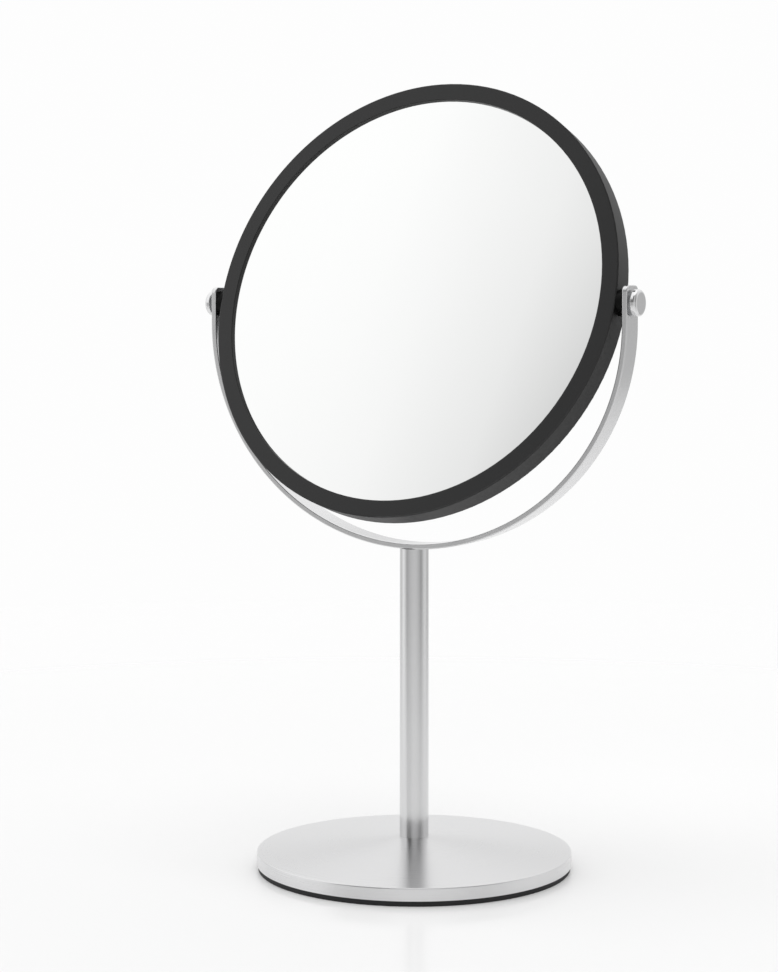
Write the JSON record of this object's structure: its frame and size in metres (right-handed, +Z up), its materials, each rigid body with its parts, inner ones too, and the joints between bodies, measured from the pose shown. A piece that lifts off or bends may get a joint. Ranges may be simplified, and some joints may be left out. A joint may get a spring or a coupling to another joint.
{
  "type": "countertop mirror",
  "caption": "Free-standing two-sided round mirror that turns on pivots between the arms of a bent strip yoke, on a tube stem and a weighted round base.",
  "frame": {"origin": "centre of the foot pad's underside, below the stem", "axes": "+Z up along the stem; +X along the pivot axis to the viewer's right; the plain mirror faces -Y at rest, leaning back by 18 degrees"},
  "size_m": [0.2012, 0.13, 0.3227],
  "materials": {
    "pad_rubber": "matt black foam rubber",
    "cast_weight": "as cast, painted",
    "brushed_cover": "satin, brushed",
    "brushed_tube": "satin, drawn lengthwise",
    "brushed_strip": "satin, brushed along the strip",
    "plated_steel": "dull dark zinc plate",
    "brass_insert": "machined",
    "bushing_nylon": "matt black nylon",
    "frame_plastic": "satin near-black, fine moulded grain",
    "silvered_glass": "silvered float glass",
    "spacer_plastic": "moulded",
    "foam": "closed-cell foam sheet",
    "bright_pin": "polished, softly rounded edge"
  },
  "bodies": {
    "stand": {"foot_pad": "pad_rubber", "base_weight": "cast_weight", "base_cover": "brushed_cover", "base_screw": "plated_steel", "base_washer": "plated_steel", "base_lock_washer": "plated_steel", "stem_plug_lower": "brass_insert", "stem_tube": "brushed_tube", "stem_plug_upper": "brass_insert", "yoke": "brushed_strip", "yoke_stud": "brushed_strip", "friction_washer_left": "plated_steel", "friction_washer_right": "plated_steel"},
    "mirror_head": {"ring_frame": "frame_plastic", "rear_bezel": "frame_plastic", "plain_mirror": "silvered_glass", "magnifying_mirror": "silvered_glass", "spacer_ring": "spacer_plastic", "foam_sheet": "foam", "pivot_pin_left": "bright_pin", "pivot_pin_right": "bright_pin", "pivot_bushing_left": "bushing_nylon", "pivot_bushing_right": "bushing_nylon", "pivot_insert_left": "brass_insert", "pivot_insert_right": "brass_insert"}
  },
  "joints": [
    {"name": "mirror_tilt", "type": "hinge", "parent": "stand", "child": "mirror_head", "pos_m": [0, 0, 0.2326], "axis": [1, 0, 0], "continuous": true}
  ]
}
